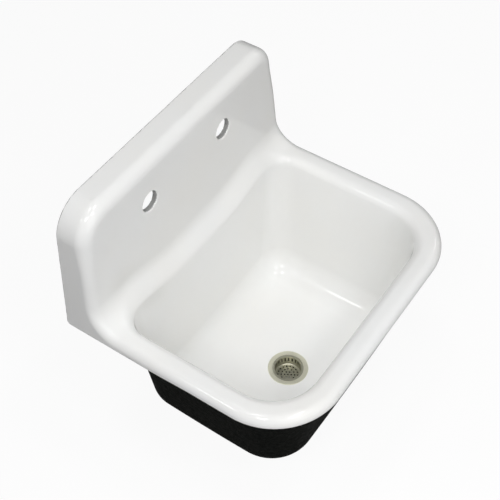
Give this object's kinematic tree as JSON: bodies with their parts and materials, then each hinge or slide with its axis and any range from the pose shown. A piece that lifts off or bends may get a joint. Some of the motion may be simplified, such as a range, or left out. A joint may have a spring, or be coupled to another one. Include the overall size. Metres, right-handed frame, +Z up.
{
  "type": "wall-mounted sink",
  "caption": "Deep rectangular cast-iron sink with a high integral back, open tap holes, a rolled rim, a cup strainer and outlet, and a wall hanger.",
  "frame": {"origin": "on the wall, at the middle of the hanger's bar, level with its two lower screws and 114 mm above the rim's top", "axes": "+X along the wall to the right seen from the front, +Y into the wall, +Z up"},
  "size_m": [0.5588, 0.4889, 0.682],
  "materials": {
    "enamel": "gloss white porcelain enamel over cast iron, black coating underneath",
    "hanger_steel": "dark painted pressed steel",
    "screw_zinc": "zinc-plated steel",
    "washer_zinc": "zinc-plated steel",
    "strainer_nickel": "satin nickel",
    "basket_nickel": "satin nickel",
    "seal_putty": "pale grey seal",
    "gasket_rubber": "black rubber",
    "ring_fibre": "brown fibre",
    "locknut_brass": "rough cast brass",
    "washer_plastic": "white plastic",
    "tail_chrome": "chromed brass tube",
    "nut_chrome": "chromed brass"
  },
  "bodies": {
    "sink": {"sink_casting": "enamel", "wall_hanger": "hanger_steel", "hanger_screws": "screw_zinc", "hanger_washers": "washer_zinc", "strainer_body": "strainer_nickel", "flange_seal": "seal_putty", "drain_gasket": "gasket_rubber", "friction_ring": "ring_fibre", "locknut": "locknut_brass", "tailpiece_washer": "washer_plastic", "tailpiece": "tail_chrome", "coupling_nut": "nut_chrome"},
    "basket": {"strainer_basket": "basket_nickel"}
  },
  "joints": [
    {"name": "basket_lift", "type": "slide", "parent": "sink", "child": "basket", "axis": [0, 0, 1], "range_m": [0, 0.06]}
  ]
}
